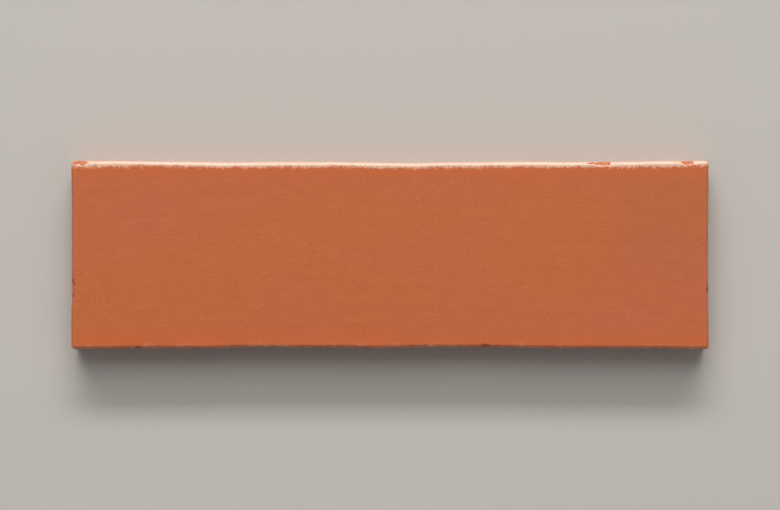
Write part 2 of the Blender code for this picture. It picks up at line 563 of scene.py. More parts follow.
# %% Chip one arris
DEPTH_SHARES = (0.25, 1.0)
MOSTLY_SHALLOW = 1.5
RADII_IN_DEPTHS = (1.7, 3.4)
SHARES_OF_RUN = (-0.97, 0.97)
STRETCHES = (1.2, 2.8)
BREAK_DEPTH = 0.22 * MM


def chip_arris(places, arris, chips, deepest, dice):
    """Knock a number of chips out of one arris at random places."""
    middle, run, half_run, inward = arris
    broken = np.zeros(len(places))
    for _ in range(chips):
        depth = deepest * dice.uniform(*DEPTH_SHARES) ** MOSTLY_SHALLOW
        radius = depth * dice.uniform(*RADII_IN_DEPTHS)
        spot = middle + run * half_run * dice.uniform(*SHARES_OF_RUN)
        centre = spot - inward * (radius - depth)
        push = scoop(places, centre, run, dice.uniform(*STRETCHES), radius, inward)
        places += np.outer(push, inward)
        broken = np.maximum(broken, np.clip(push / BREAK_DEPTH, 0.0, 1.0))
    return broken


print("chips wholly fresh from a depth of", BREAK_DEPTH / MM, "mm")

# %% Chip all the arrises
CHIP_SEED = 11
RIMS = {
    "face": {"height": THICKNESS, "outward": 1, "radius": FACE_ARRIS},
    "back": {"height": 0.0, "outward": -1, "radius": BACK_ARRIS},
}
DEEPEST_CHIP = {"face": 0.90 * MM, "back": 1.2 * MM}
CHIPS_PER_METRE = {"face": 36.0, "back": 60.0}

dice = random.Random(CHIP_SEED)
chip_mask = np.zeros(count)
for name, rim in RIMS.items():
    for arris in rim_arrises(**rim):
        chips = round(CHIPS_PER_METRE[name] * 2.0 * arris[2])
        broken = chip_arris(places, arris, chips, DEEPEST_CHIP[name], dice)
        chip_mask = np.maximum(chip_mask, broken)

places[:, 2] = np.maximum(places[:, 2], 0.0)
places[on_face, 2] = np.minimum(places[on_face, 2], THICKNESS + FACE_SWELL)
mesh.vertices.foreach_set("co", places.ravel())
mesh.update()
print("vertices in chips:", np.count_nonzero(chip_mask), "lowest point:", places[:, 2].min())

# %% [markdown]
# ## Leave notes for the materials
#
# A material can't know where a chip is or how near an arris lies, but it can read a number stored on
# the vertices. Five such attributes are written: how near an arris is, how near the warm rim along the
# long sides is, how much pale rub and painted highlight lie there, how fresh the break is, and how
# hollow the place is, where dust will lodge. The painted highlight lies mostly along the long side at
# +Y, which faces the lights, and the side at -Y gets only a small share of it.
#
# A name has to be chosen with care. An attribute called heat would read as nothing, because Cycles
# keeps that word for smoke and fire. So the note for the warm rim is called rim.

# %% Attributes on the vertices
SHINE_REACH = 4.0 * MM
RIM_REACH = 11.0 * MM
# The pale rub paints a highlight along the long arris at +Y, which faces the lights. These set how far
# it reaches and how it sways.
RUB_HIGHLIGHT_REACH = 3.8 * MM
RUB_HIGHLIGHT_SWAY = 0.40
SWAY_SIZE = 15.0 * MM
# The arris at -Y, away from the lights, gets only this small share of the painted highlight.
SIDE_AWAY_FROM_LIGHTS_SHARE = 0.10
HOLLOWNESS = {"tears": 2.0, "keys": 0.8, "rib edges": 0.7}


def note(name, values):
    """Store one number for each vertex under a name that a material can ask for."""
    attribute = mesh.attributes.new(name, "FLOAT", "POINT")
    attribute.data.foreach_set("value", np.clip(values, 0.0, 1.0))
    print("note:", name)


# Painted highlight with some rub: full on the side at +Y that faces the lights, a small share at -Y.
highlight_side_share = np.where(block[:, 1] > 0.0, 1.0, SIDE_AWAY_FROM_LIGHTS_SHARE)
rub_highlight_amount = highlight_side_share * (1.0 + RUB_HIGHLIGHT_SWAY * lumps(SWAY_SIZE, seed=14))
hollows = [HOLLOWNESS["tears"] * torn for torn in (slit_tears, wire_tears, rib_scuffs)]
hollows += [HOLLOWNESS["keys"] * in_key, HOLLOWNESS["rib edges"] * rib_tears]

note("arris", near_arris(SHINE_REACH))
note("rim", fading(to_long_arris, RIM_REACH))
note("rub_highlight", fading(to_long_arris, RUB_HIGHLIGHT_REACH) * rub_highlight_amount)
note("chip", chip_mask)
note("hollow", np.maximum.reduce(hollows))

# %% [markdown]
# ## Unroll the skin
#
# A game or a web page needs the colours baked into one picture, and for that the skin has to lie
# flat. Blender's own unwrapping would cut so many faces into hundreds of scraps. A slip unrolls
# like a carton: one long sleeve, cut along a hidden edge of the back, and the two ends beside it.
# Walking once round the section gives the sleeve's height.

# %% The way round the section


def walk_round():
    """The lattice points round the section, once, from the lower edge at -Y."""
    lefts, rights = wall_columns[::2], wall_columns[1::2]
    walk = []
    for column in range(last_y + 1):
        if column in lefts:
            walk += [(column, row) for row in range(key_row + 1)]
        elif column in rights:
            walk += [(column, row) for row in range(key_row, -1, -1)]
        else:
            inside = any(left < column < right for left, right in zip(lefts, rights))
            walk.append((column, key_row if inside else 0))
    walk += [(last_y, row) for row in range(1, last_z)]
    walk += [(column, last_z) for column in range(last_y, -1, -1)]
    walk += [(0, row) for row in range(last_z - 1, 0, -1)]
    return walk


walk = walk_round()
section = np.array([(y_lines[column], z_lines[row]) for column, row in walk])
steps = np.linalg.norm(np.diff(section, axis=0, append=section[:1]), axis=1)
girth = steps.sum()
round_at = np.zeros((last_y + 1, last_z + 1))
for (column, row), distance in zip(walk, np.cumsum(steps) - steps):
    round_at[column, row] = distance
print("way round the section, mm:", round(girth / MM, 1))

# %% A sleeve and two ends
SHEET_GAP = 3.0 * MM
SHEET_MARGIN = 0.004

u = block[:, 0] + half_length
v = round_at[across, up]
face_u, face_v = u[corners], v[corners]
spans_seam = (face_v.max(axis=1) - face_v.min(axis=1) > 0.5 * girth)[:, None]
face_v = np.where(spans_seam & (face_v < 0.5 * girth), girth, face_v)

end_u = LENGTH + SHEET_GAP + block[:, 2]
end_v = half_width + block[:, 1] + np.where(along == 0, 0.0, WIDTH + SHEET_GAP)
is_end_face = (along[corners].max(axis=1) == along[corners].min(axis=1))[:, None]
face_u = np.where(is_end_face, end_u[corners], face_u)
face_v = np.where(is_end_face, end_v[corners], face_v)

sheet_u = face_u / (face_u.max() + SHEET_GAP)
sheet_v = face_v / (face_v.max() + SHEET_GAP)
sheet = np.stack([sheet_u, sheet_v], axis=-1) + SHEET_MARGIN
layer = mesh.uv_layers.new(name="OFBake")
layer.data.foreach_set("uv", sheet.clip(0.0, 1.0).ravel())
print("sheet reaches", sheet.max(axis=(0, 1)).round(3))

# %% [markdown]
# ## Tools for wiring materials
#
# Materials are trees of nodes. A few small helpers keep the trees readable: one adds a node and
# feeds its inputs, and others do sums, carry a value from one range to another, mix colours, and
# read noise, places and notes. A group is a tree of its own with named inputs and outputs. Each
# effect that several finishes share is such a group, built once.

# %% Helpers for nodes and sums


def add(tree, kind, inputs=None, **settings):
    """Add a node with its settings, and give each input a value or a link."""
    node = tree.nodes.new(kind)
    for name, value in settings.items():
        setattr(node, name, value)
    for name, value in (inputs or {}).items():
        if isinstance(value, bpy.types.NodeSocket):
            tree.links.new(value, node.inputs[name])
        else:
            node.inputs[name].default_value = value
    return node


def sums(tree, operation, *values):
    """The result of a Math node."""
    return add(tree, "ShaderNodeMath", dict(enumerate(values)), operation=operation).outputs[0]


def vector_sums(tree, operation, one, two):
    """The result of a Vector Math node."""
    return add(tree, "ShaderNodeVectorMath", {0: one, 1: two}, operation=operation).outputs[0]


def ramp(tree, value, start, stop, low_end=0.0, high_end=1.0):
    """Carry a value smoothly from one range to another."""
    inputs = {"Value": value, "From Min": start, "From Max": stop}
    inputs |= {"To Min": low_end, "To Max": high_end}
    node = add(tree, "ShaderNodeMapRange", inputs, interpolation_type="SMOOTHSTEP")
    return node.outputs["Result"]


def mix(tree, share, under, over, mode="MIX"):
    """Mix two colours."""
    inputs = {0: share, 6: under, 7: over}
    return add(tree, "ShaderNodeMix", inputs, data_type="RGBA", blend_type=mode).outputs[2]


print("helpers ready for nodes, sums, ramps and mixes")

# %% Helpers for noise, places and notes


def own_place(tree):
    """The object's own coordinates, which run on round every edge."""
    return add(tree, "ShaderNodeTexCoord").outputs["Object"]


def read_note(tree, name):
    """A note that was left on the vertices."""
    return add(tree, "ShaderNodeAttribute", attribute_name=name).outputs["Fac"]


def scale_for(tree, size):
    """The scale of a texture whose lumps have a given size in metres."""
    return sums(tree, "DIVIDE", 1.0, size)


def soft_noise(tree, place, scale, detail, roughness=0.5, distortion=0.0):
    """Smooth noise between 0 and 1."""
    inputs = {"Vector": place, "Scale": scale, "Detail": detail}
    inputs |= {"Roughness": roughness, "Distortion": distortion}
    return add(tree, "ShaderNodeTexNoise", inputs).outputs[0]


def around_zero(tree, value):
    """Noise that sinks as far as it rises."""
    return sums(tree, "SUBTRACT", value, 0.5)


def colour(red, green, blue):
    """A colour from 8-bit screen values, as the linear light that shaders use."""
    shares = [value / 255.0 for value in (red, green, blue)]
    return [s / 12.92 if s <= 0.04045 else ((s + 0.055) / 1.055) ** 2.4 for s in shares] + [1.0]


print("a mid terracotta in linear light:", [round(c, 3) for c in colour(186, 103, 66)])

# %% Helpers for groups
SOCKET_KINDS = {float: "NodeSocketFloat", tuple: "NodeSocketVector", list: "NodeSocketColor"}


def group(name, inputs, outputs):
    """Start a node group with named sockets. The kind of an input follows from its value."""
    tree = bpy.data.node_groups.new(name, "ShaderNodeTree")
    for label, value in inputs.items():
        kind = SOCKET_KINDS[type(value)]
        socket = tree.interface.new_socket(label, in_out="INPUT", socket_type=kind)
        socket.default_value = value
    for label, kind in outputs.items():
        tree.interface.new_socket(label, in_out="OUTPUT", socket_type=SOCKET_KINDS[kind])
    return tree, tree.nodes.new("NodeGroupInput").outputs, tree.nodes.new("NodeGroupOutput").inputs


def use(tree, node_group, values):
    """Place a group in a material with its values, and give back its outputs."""
    return add(tree, "ShaderNodeGroup", values, node_tree=node_group).outputs


print("kinds of socket:", list(SOCKET_KINDS.values()))

# %% [markdown]
# ## Clouds in the fired body
#
# The clay is one mix, but the kiln isn't equally hot all over. Broad, soft clouds drift between a
# warmer orange and a rosier red, only a few steps apart. Inside them lies a fine mottle, from
# grains that took the fire unevenly. A flat colour would look like plastic here. Noise over the
# object's own coordinates gives clouds that run on round every edge.

# %% Group: clay clouds
CLOUD_STRETCH = (0.45, 1.0, 1.0)
CLOUD_BORDER = (0.32, 0.68)
MOTTLES_PER_CLOUD = 14.0


def make_clay_clouds():
    """Clouds of two fired colours, with a mottle in both."""
    colours = {"Warm": colour(187, 101, 60), "Rosy": colour(189, 107, 73)}
    inputs = {**colours, "Cloud Size": 0.05, "Mottle": 0.1}
    tree, given, out = group("clay clouds", inputs, {"Color": list})
    place = vector_sums(tree, "MULTIPLY", own_place(tree), CLOUD_STRETCH)
    scale = scale_for(tree, given["Cloud Size"])
    clouds = soft_noise(tree, place, scale, detail=3.0, roughness=0.45, distortion=0.4)
    fine_scale = sums(tree, "MULTIPLY", scale, MOTTLES_PER_CLOUD)
    mottles = soft_noise(tree, place, fine_scale, detail=4.0, roughness=0.65)
    tone = sums(tree, "MULTIPLY_ADD", around_zero(tree, mottles), given["Mottle"], 1.0)
    body = mix(tree, ramp(tree, clouds, *CLOUD_BORDER), given["Warm"], given["Rosy"])
    tree.links.new(mix(tree, 1.0, body, tone, "MULTIPLY"), out["Color"])
    return tree


clay_clouds = make_clay_clouds()
print("built group:", clay_clouds.name)

# %% [markdown]
# ## Grog and iron
#
# Crushed fired clay, called grog, is mixed in so that the slip doesn't crack as it dries. It shows
# as a fine grain with a few paler crumbs. Specks of iron ore melt into small dark spots. Cells of
# a Voronoi texture give one speck each, and the cell's random colour decides which of them show.
# The grain shakes the cells a little, so that no speck comes out round.

# %% Group: grog and iron
CRUMB = {"cell": 1.9, "core": 0.40}
SPOT = {"cell": 9.0, "core": 0.055}
SOFT_EDGE = 0.4
CRUMB_RISE = 0.5
SPOT_PIT = -1.5


def make_grog_and_iron():
    """A fine grain with crumbs of grog and spots of iron."""
    inputs = {"Grain Size": 0.0006, "Grain": 0.06, "Crumbs": 0.1, "Spots": 0.3, "Depth": 0.02}
    outputs = {"Tone": float, "Crumbs": float, "Spots": float, "Height": float}
    tree, given, out = group("grog and iron", inputs, outputs)
    place = own_place(tree)
    scale = scale_for(tree, given["Grain Size"])
    sand = soft_noise(tree, place, scale, detail=3.0, roughness=0.7)
    uneven = around_zero(tree, sand)
    shake = {0: sand.node.outputs["Color"], "Scale": given["Grain Size"]}
    shift = add(tree, "ShaderNodeVectorMath", shake, operation="SCALE").outputs[0]
    shaken = vector_sums(tree, "ADD", shift, place)

    def speckles(share, cell, core):
        """Specks in a share of the cells. A cell is measured in grains, and a core in cells."""
        cell_scale = sums(tree, "DIVIDE", scale, cell)
        cells = add(tree, "ShaderNodeTexVoronoi", {"Vector": shaken, "Scale": cell_scale})
        chosen = sums(tree, "LESS_THAN", cells.outputs["Color"], share)
        speck = ramp(tree, cells.outputs["Distance"], core, SOFT_EDGE * core)
        return sums(tree, "MULTIPLY", speck, chosen)

    crumbs = speckles(given["Crumbs"], **CRUMB)
    spots = speckles(given["Spots"], **SPOT)
    raised = sums(tree, "MULTIPLY_ADD", crumbs, CRUMB_RISE, uneven)
    pitted = sums(tree, "MULTIPLY_ADD", spots, SPOT_PIT, raised)
    tree.links.new(sums(tree, "MULTIPLY_ADD", uneven, given["Grain"], 1.0), out["Tone"])
    tree.links.new(crumbs, out["Crumbs"])
    tree.links.new(spots, out["Spots"])
    tree.links.new(sums(tree, "MULTIPLY", pitted, given["Depth"]), out["Height"])
    return tree


grog_and_iron = make_grog_and_iron()
print("built group:", grog_and_iron.name)

# %% [markdown]
# ## Drag lines
#
# Grit caught at the die's lip or on the wire scores fine lines in the direction of travel. They
# run lengthwise on the face, the bed edges and the keys, and downwards on the cut ends. One group
# makes them all: noise squeezed across the lines and stretched along them.

# %% Group: drag lines
LINE_BORDER = (0.36, 0.66)


def make_drag_lines():
    """Fine lines in the direction that isn't squeezed."""
    inputs = {"Squeeze": (1.0, 20.0, 20.0), "Line Size": 0.02, "Depth": 0.02}
    tree, given, out = group("drag lines", inputs, {"Lines": float, "Height": float})
    place = vector_sums(tree, "MULTIPLY", own_place(tree), given["Squeeze"])
    scale = scale_for(tree, given["Line Size"])
    fine = soft_noise(tree, place, scale, detail=4.0, roughness=0.62, distortion=0.15)
    height = sums(tree, "MULTIPLY", around_zero(tree, fine), given["Depth"])
    tree.links.new(ramp(tree, fine, *LINE_BORDER), out["Lines"])
    tree.links.new(height, out["Height"])
    return tree


drag_lines = make_drag_lines()
print("built group:", drag_lines.name)

# %% [markdown]
# ## Rubbed arrises with a painted highlight, and fresh breaks
#
# The long sides stand nearest to the fire, so the clay turns a little warmer there. At the arrises its
# skin melts to a thin glassy shine. Along the long side at +Y, which faces the lights, a pale colour
# with a little real rub in it paints a highlight, and together with the lamps it makes the bright line
# on that arris. Where a chip came off, the rough inside of the clay shows. All of these read the notes
# left on the vertices. The notes alone would give masks with ruled edges, so noise frays them, and a
# fine grit breaks up the painted highlight into grains.

# %% Group: arris rub and painted highlight
BREAK_FRAY, BREAK_BORDER = 1.6, (0.4, 0.65)
RUB_HIGHLIGHT_PATCHES, RUB_HIGHLIGHT_FRAY, RUB_HIGHLIGHT_BORDER = 0.5, 0.8, (0.06, 0.42)
RUB_HIGHLIGHT_END = (0.0, 0.06)
SHINE_BORDER, SHINE_PATCHES = (0.18, 0.5), (0.2, 0.6, 0.45, 1.0)
RIM_SWAY, RIM_BORDER = 0.4, (0.2, 0.70)
GRIT_TONES = (-0.16, 0.16, 0.70, 1.14)
SCUFF_SHARE = 0.09


def make_rubbed_arris():
    """Masks for rub and painted highlight, shine, warm rim and fresh breaks, and their grit."""
    inputs = {"Rub Highlight": 0.5, "Breakup Size": 0.003, "Break Size": 0.0008, "Break Depth": 0.3}
    labels = ("Rub Highlight", "Shine", "Rim", "Fresh", "Grit Tone", "Height")
    tree, given, out = group("rubbed arris", inputs, {label: float for label in labels})
    arris, rim, rub_highlight, chip = (read_note(tree, name) for name in ("arris", "rim", "rub_highlight", "chip"))
    place = own_place(tree)
    patchy = soft_noise(tree, place, scale_for(tree, given["Breakup Size"]), detail=3.0)
    grains = soft_noise(tree, place, scale_for(tree, given["Break Size"]), detail=4.0, roughness=0.7)
    grit = around_zero(tree, grains)

    fresh = ramp(tree, sums(tree, "MULTIPLY_ADD", grit, BREAK_FRAY, chip), *BREAK_BORDER)
    rub_highlight_amount = sums(tree, "MULTIPLY_ADD", around_zero(tree, patchy), RUB_HIGHLIGHT_PATCHES, rub_highlight)
    rubbed = ramp(tree, sums(tree, "MULTIPLY_ADD", grit, RUB_HIGHLIGHT_FRAY, rub_highlight_amount), *RUB_HIGHLIGHT_BORDER)
    rub_highlight_mask = sums(tree, "MULTIPLY", rubbed, ramp(tree, rub_highlight, *RUB_HIGHLIGHT_END))
    melted = ramp(tree, arris, *SHINE_BORDER)
    glassy = sums(tree, "MULTIPLY", melted, ramp(tree, patchy, *SHINE_PATCHES))
    whole = sums(tree, "SUBTRACT", 1.0, fresh)
    warm = ramp(tree, sums(tree, "MULTIPLY_ADD", patchy, RIM_SWAY, rim), *RIM_BORDER)
    opened = sums(tree, "MULTIPLY_ADD", rub_highlight_mask, SCUFF_SHARE, fresh)
    rough = sums(tree, "MULTIPLY", sums(tree, "MULTIPLY", grit, opened), given["Break Depth"])

    tree.links.new(sums(tree, "MULTIPLY", rub_highlight_mask, given["Rub Highlight"]), out["Rub Highlight"])
    tree.links.new(sums(tree, "MULTIPLY", glassy, whole), out["Shine"])
    tree.links.new(warm, out["Rim"])
    tree.links.new(fresh, out["Fresh"])
    tree.links.new(ramp(tree, grit, *GRIT_TONES), out["Grit Tone"])
    tree.links.new(rough, out["Height"])
    return tree


rubbed_arris = make_rubbed_arris()
print("built group:", rubbed_arris.name)

# %% [markdown]
# ## Kiln smoke
#
# Where a slip is shielded from the fire, a little smoke stays in the clay as a dull patch with no
# edge, as the photograph shows towards the ends. A gradient along the slip would have straight
# contours. The group measures the distance from a middle in a stretched space, and noise frays it.

# %% Group: kiln smoke
WISPS_PER_METRE = 42.0
WISP_REACH = 1.3


def make_kiln_smoke():
    """One frayed patch that fades from its middle."""
    inputs = {"Middle": (0.09, 0.01, 0.0), "Reach": (0.05, 0.03, 0.05), "Strength": 0.3}
    tree, given, out = group("kiln smoke", inputs, {"Smoke": float})
    place = own_place(tree)
    away = vector_sums(tree, "SUBTRACT", place, given["Middle"])
    shares = vector_sums(tree, "DIVIDE", away, given["Reach"])
    length = add(tree, "ShaderNodeVectorMath", {0: shares}, operation="LENGTH").outputs["Value"]
    wisps = around_zero(tree, soft_noise(tree, place, WISPS_PER_METRE, detail=4.0))
    frayed = sums(tree, "MULTIPLY_ADD", wisps, WISP_REACH, length)
    tree.links.new(ramp(tree, frayed, 1.0, 0.0, 0.0, given["Strength"]), out["Smoke"])
    return tree


kiln_smoke = make_kiln_smoke()
print("built group:", kiln_smoke.name)

# %% [markdown]
# ## Torn grain
#
# Where the wire and the die's teeth dragged on dry clay, the surface opened into small tears. The
# larger ones are in the mesh. Between them lies a crowd of tears smaller than a cell of the lattice,
# and those are left to the material: noise stretched along the drag, cut off sharply so that only its
# peaks count, with shade painted darker inside and pressed in by the bump.

# %% Group: torn grain
NO_TEARS, MORE_TEARS = 0.72, -0.4
TEAR_BORDER = 0.12
CRUMBLE_FINENESS = 5.0
CRUMBLED_DEPTHS = (0.3, 0.7, -0.4, -1.3)


def make_torn_grain():
    """Small tears. The larger their share, the lower the noise at which they start."""
    inputs = {"Squeeze": (1.0, 3.0, 3.0), "Tear Size": 0.003, "Share": 0.3, "Depth": 0.15}
    tree, given, out = group("torn grain", inputs, {"Torn": float, "Height": float})
    place = own_place(tree)
    squeezed = vector_sums(tree, "MULTIPLY", place, given["Squeeze"])
    scale = scale_for(tree, given["Tear Size"])
    peaks = soft_noise(tree, squeezed, scale, detail=4.0, roughness=0.6, distortion=0.6)
    start = sums(tree, "MULTIPLY_ADD", given["Share"], MORE_TEARS, NO_TEARS)
    torn = ramp(tree, peaks, start, sums(tree, "ADD", start, TEAR_BORDER))
    crumbs = soft_noise(tree, place, sums(tree, "MULTIPLY", scale, CRUMBLE_FINENESS), detail=2.0)
    depth = sums(tree, "MULTIPLY", ramp(tree, crumbs, *CRUMBLED_DEPTHS), given["Depth"])
    tree.links.new(torn, out["Torn"])
    tree.links.new(sums(tree, "MULTIPLY", torn, depth), out["Height"])
    return tree


torn_grain = make_torn_grain()
print("built group:", torn_grain.name)

# %% [markdown]
# ## Dust in the hollows
#
# Cutting dust and kiln sand settle in tears and keys and burn on as a pale bloom. It could be
# painted by hand, but the hollow note already says where it lies, and grain-sized noise makes it
# lie in crumbs.

# %% Group: lodged dust
DUST_BORDER = (0.3, 0.65)


def make_lodged_dust():
    """Dust that lies in crumbs in the hollows."""
    tree, given, out = group("lodged dust", {"Amount": 0.4, "Crumb Size": 0.0012}, {"Dust": float})
    scale = scale_for(tree, given["Crumb Size"])
    crumbs = soft_noise(tree, own_place(tree), scale, detail=3.0)
    lodged = sums(tree, "MULTIPLY", read_note(tree, "hollow"), ramp(tree, crumbs, *DUST_BORDER))
    tree.links.new(sums(tree, "MULTIPLY", lodged, given["Amount"]), out["Dust"])
    return tree


lodged_dust = make_lodged_dust()
print("built group:", lodged_dust.name)

# %% [markdown]
# ## One recipe for all sides
#
# All four sides are the same clay, so they share one recipe: clouds, grain, lines, smoke, rim, tears
# with painted shade inside, rub with a painted highlight, breaks, iron and dust, laid over each other
# in about the order in which they came about. What differs is how much of each. A list of layers keeps
# the order plain to see, where a chain of single nodes would hide it.

# %% The colours, laid over each other
FRESH_CLAY = colour(193, 114, 78)
IRON_SPOT = colour(104, 60, 44)
KILN_SMOKE = colour(150, 96, 74)
PALE_GROG = colour(210, 142, 104)
HOT_RIM = colour(193, 96, 48)
# A pale rub colour that paints the highlight on the arris facing the lights.
RUB_AND_PAINTED_HIGHLIGHT = colour(222, 177, 151)
# Painted shade inside the small tears, where a real hollow would hold a shadow.
TEAR_PAINTED_SHADE = colour(134, 70, 44)
KILN_DUST = colour(204, 152, 120)
GRIT_IN_RUB_HIGHLIGHT = 0.45


def clay_colour(tree, look, effects):
    """Lay the colours over each other, from the body out to the dust."""
    grain, rub = effects["grain"], effects["rub"]
    shade = mix(tree, 1.0, effects["clouds"]["Color"], grain["Tone"], "MULTIPLY")
    line_tones = (1.0 - look["line_shade"], 1.0 + look["line_shade"])
    lined = ramp(tree, effects["lines"]["Lines"], 0.0, 1.0, *line_tones)
    shade = mix(tree, 1.0, shade, lined, "MULTIPLY")
    layers = [
        (grain["Crumbs"], look["crumb_share"], PALE_GROG),
        (effects["smoke"]["Smoke"], 1.0, KILN_SMOKE),
        (rub["Rim"], look["rim_share"], HOT_RIM),
        # Painted shade inside the small tears.
        (effects["tears"]["Torn"], look["tear_shade"], TEAR_PAINTED_SHADE),
        # Painted highlight with some rub, on the arris that faces the lights.
        (rub["Rub Highlight"], 1.0, mix(tree, GRIT_IN_RUB_HIGHLIGHT, RUB_AND_PAINTED_HIGHLIGHT, rub["Grit Tone"], "MULTIPLY")),
        (rub["Fresh"], 1.0, mix(tree, 1.0, FRESH_CLAY, rub["Grit Tone"], "MULTIPLY")),
        (grain["Spots"], look["spot_share"], IRON_SPOT),
        (effects["dust"]["Dust"], 1.0, KILN_DUST),
    ]
    for mask, share, over in layers:
        shade = mix(tree, sums(tree, "MULTIPLY", mask, share), shade, over)
    return shade


# This prints the pale colour that paints the highlight on the arris facing the lights.
print("the rubbed clay in linear light:", [round(c, 3) for c in RUB_AND_PAINTED_HIGHLIGHT])

# %% [markdown]
# ## Roughness, glaze and relief
#
# Fired clay is matt, and its open places are the most matt of all. Only the arrises carry a thin
# melted skin. A lower roughness alone would make them look oiled. A coat with its own index of
# refraction over the rough clay is what a thin glassy skin really is. Each side has one bump, fed
# with the sum of all the small heights. Its distance is a millimetre, so every depth in the values
# is in millimetres, while sizes are in metres.

# %% Roughness and relief
GRAIN_TONES = (0.92, 1.08)
SMOOTHER, COARSER = 0.05, 0.07
OPEN_CLAY_ROUGHER = 0.2


def clay_roughness(tree, look, effects):
    """Rougher on coarse grain and open clay, and smoother where an arris has melted."""
    tones = (look["roughness"] - SMOOTHER, look["roughness"] + COARSER)
    sandy = ramp(tree, effects["grain"]["Tone"], *GRAIN_TONES, *tones)
    burnished = sums(tree, "MULTIPLY_ADD", effects["rub"]["Shine"], -look["burnish"], sandy)
    open_clay = sums(tree, "MAXIMUM", effects["tears"]["Torn"], effects["dust"]["Dust"])
    open_clay = sums(tree, "MAXIMUM", effects["rub"]["Fresh"], open_clay)
    return sums(tree, "MULTIPLY_ADD", open_clay, OPEN_CLAY_ROUGHER, burnished)


def clay_normal(tree, effects):
    """The bump of all the small heights together."""
    skin = sums(tree, "ADD", effects["grain"]["Height"], effects["lines"]["Height"])
    breaks = sums(tree, "ADD", effects["tears"]["Height"], effects["rub"]["Height"])
    height = sums(tree, "ADD", skin, breaks)
    return add(tree, "ShaderNodeBump", {"Height": height, "Distance": MM}).outputs["Normal"]


print("grain tones from", GRAIN_TONES[0], "to", GRAIN_TONES[1], "span the roughness")

# %% The finish of a side
EFFECTS = {
    "clouds": clay_clouds,
    "grain": grog_and_iron,
    "lines": drag_lines,
    "rub": rubbed_arris,
    "smoke": kiln_smoke,
    "tears": torn_grain,
    "dust": lodged_dust,
}
GLAZE_ROUGHNESS = 0.34
GLAZE_IOR = 1.6


def add_finish(name, **look):
    """Make a side's material from its values, and give back its number on the skin."""
    material = bpy.data.materials.new(name)
    material.use_nodes = True
    tree = material.node_tree
    shader = tree.nodes["Principled BSDF"].inputs
    effects = {label: use(tree, effect, look[label]) for label, effect in EFFECTS.items()}
    glaze = sums(tree, "MULTIPLY", effects["rub"]["Shine"], look["glaze"])
    tree.links.new(clay_colour(tree, look, effects), shader["Base Color"])
    tree.links.new(clay_roughness(tree, look, effects), shader["Roughness"])
    tree.links.new(clay_normal(tree, effects), shader["Normal"])
    tree.links.new(glaze, shader["Coat Weight"])
    shader["Coat Roughness"].default_value = GLAZE_ROUGHNESS
    shader["Coat IOR"].default_value = GLAZE_IOR
    shader["Specular IOR Level"].default_value = look["shine"]
    mesh.materials.append(material)
    print("finish:", name, "with", len(tree.nodes), "nodes")
    return len(mesh.materials) - 1


print("effects in every finish:", list(EFFECTS))

# %% [markdown]
# ## The face
#
# The die ironed the face, so it has the finest lines and hardly a tear. Its two fired colours are
# equally light and differ only in hue, as in the photograph. A difference in lightness would look like
# stains. The painted highlight with its rub on the arris at +Y, and the warm rim, count most here,
# because they are what the eye sees on a wall.

# %% Finish: the face
FACE_SKIN = add_finish(
    "face_skin",
    clouds={
        "Warm": colour(186, 98, 50),
        "Rosy": colour(185, 97, 60),
        "Cloud Size": 0.05,
        "Mottle": 0.20,
    },
    grain={"Grain Size": 0.0007, "Grain": 0.60, "Crumbs": 0.27, "Spots": 0.20, "Depth": 0.07},
    lines={"Squeeze": (1.0, 26.0, 26.0), "Line Size": 0.035, "Depth": 0.030},
    # The face carries most of the painted highlight, on its arris at +Y.
    rub={"Rub Highlight": 0.95, "Breakup Size": 0.0035},
    smoke={"Middle": (0.104, 0.014, 0.014), "Reach": (0.058, 0.036, 0.05), "Strength": 0.15},
    tears={"Squeeze": (1.0, 2.0, 2.0), "Tear Size": 0.0032, "Share": -0.2, "Depth": 0.08},
    dust={"Amount": 0.0, "Crumb Size": 0.0012},
    line_shade=0.008,
    crumb_share=0.16,
    spot_share=0.35,
    rim_share=0.75,
    tear_shade=0.25,
    roughness=0.66,
    burnish=0.22,
    glaze=0.8,
    shine=0.35,
)

# %% [markdown]
# ## The slit bed edges
#
# The slitting wires opened the clay, so the bed edges are darker and rougher than the face. Their
# lines run lengthwise and are squeezed most in height, and small tears lie between them. Smoke
# crept in along one of the edges.

# %% Finish: the bed edges
SLIT_EDGE = add_finish(
    "slit_edge",
    clouds={
        "Warm": colour(170, 88, 50),
        "Rosy": colour(175, 95, 62),
        "Cloud Size": 0.03,
        "Mottle": 0.30,
    },
    grain={"Grain Size": 0.0008, "Grain": 0.30, "Crumbs": 0.12, "Spots": 0.30, "Depth": 0.09},
    lines={"Squeeze": (1.0, 20.0, 34.0), "Line Size": 0.022, "Depth": 0.12},
    rub={"Rub Highlight": 0.35, "Breakup Size": 0.0025},
    smoke={"Middle": (0.06, -0.035, 0.004), "Reach": (0.05, 0.03, 0.012), "Strength": 0.35},
    tears={"Squeeze": (1.0, 3.6, 4.2), "Tear Size": 0.0034, "Share": 0.30, "Depth": 0.20},
    dust={"Amount": 0.25, "Crumb Size": 0.0011},
    line_shade=0.07,
    crumb_share=0.35,
    spot_share=0.6,
    rim_share=0.15,
    tear_shade=0.30,
    roughness=0.70,
    burnish=0.10,
    glaze=0.25,
    shine=0.4,
)

# %% [markdown]
# ## The wire-cut ends
#
# The cutting wire goes down through the whole column and lays its inside open. The ends have the
# coarsest grain and the most grog, and their lines run downwards, so here it is Z that isn't
# squeezed. They are the most matt of all sides.

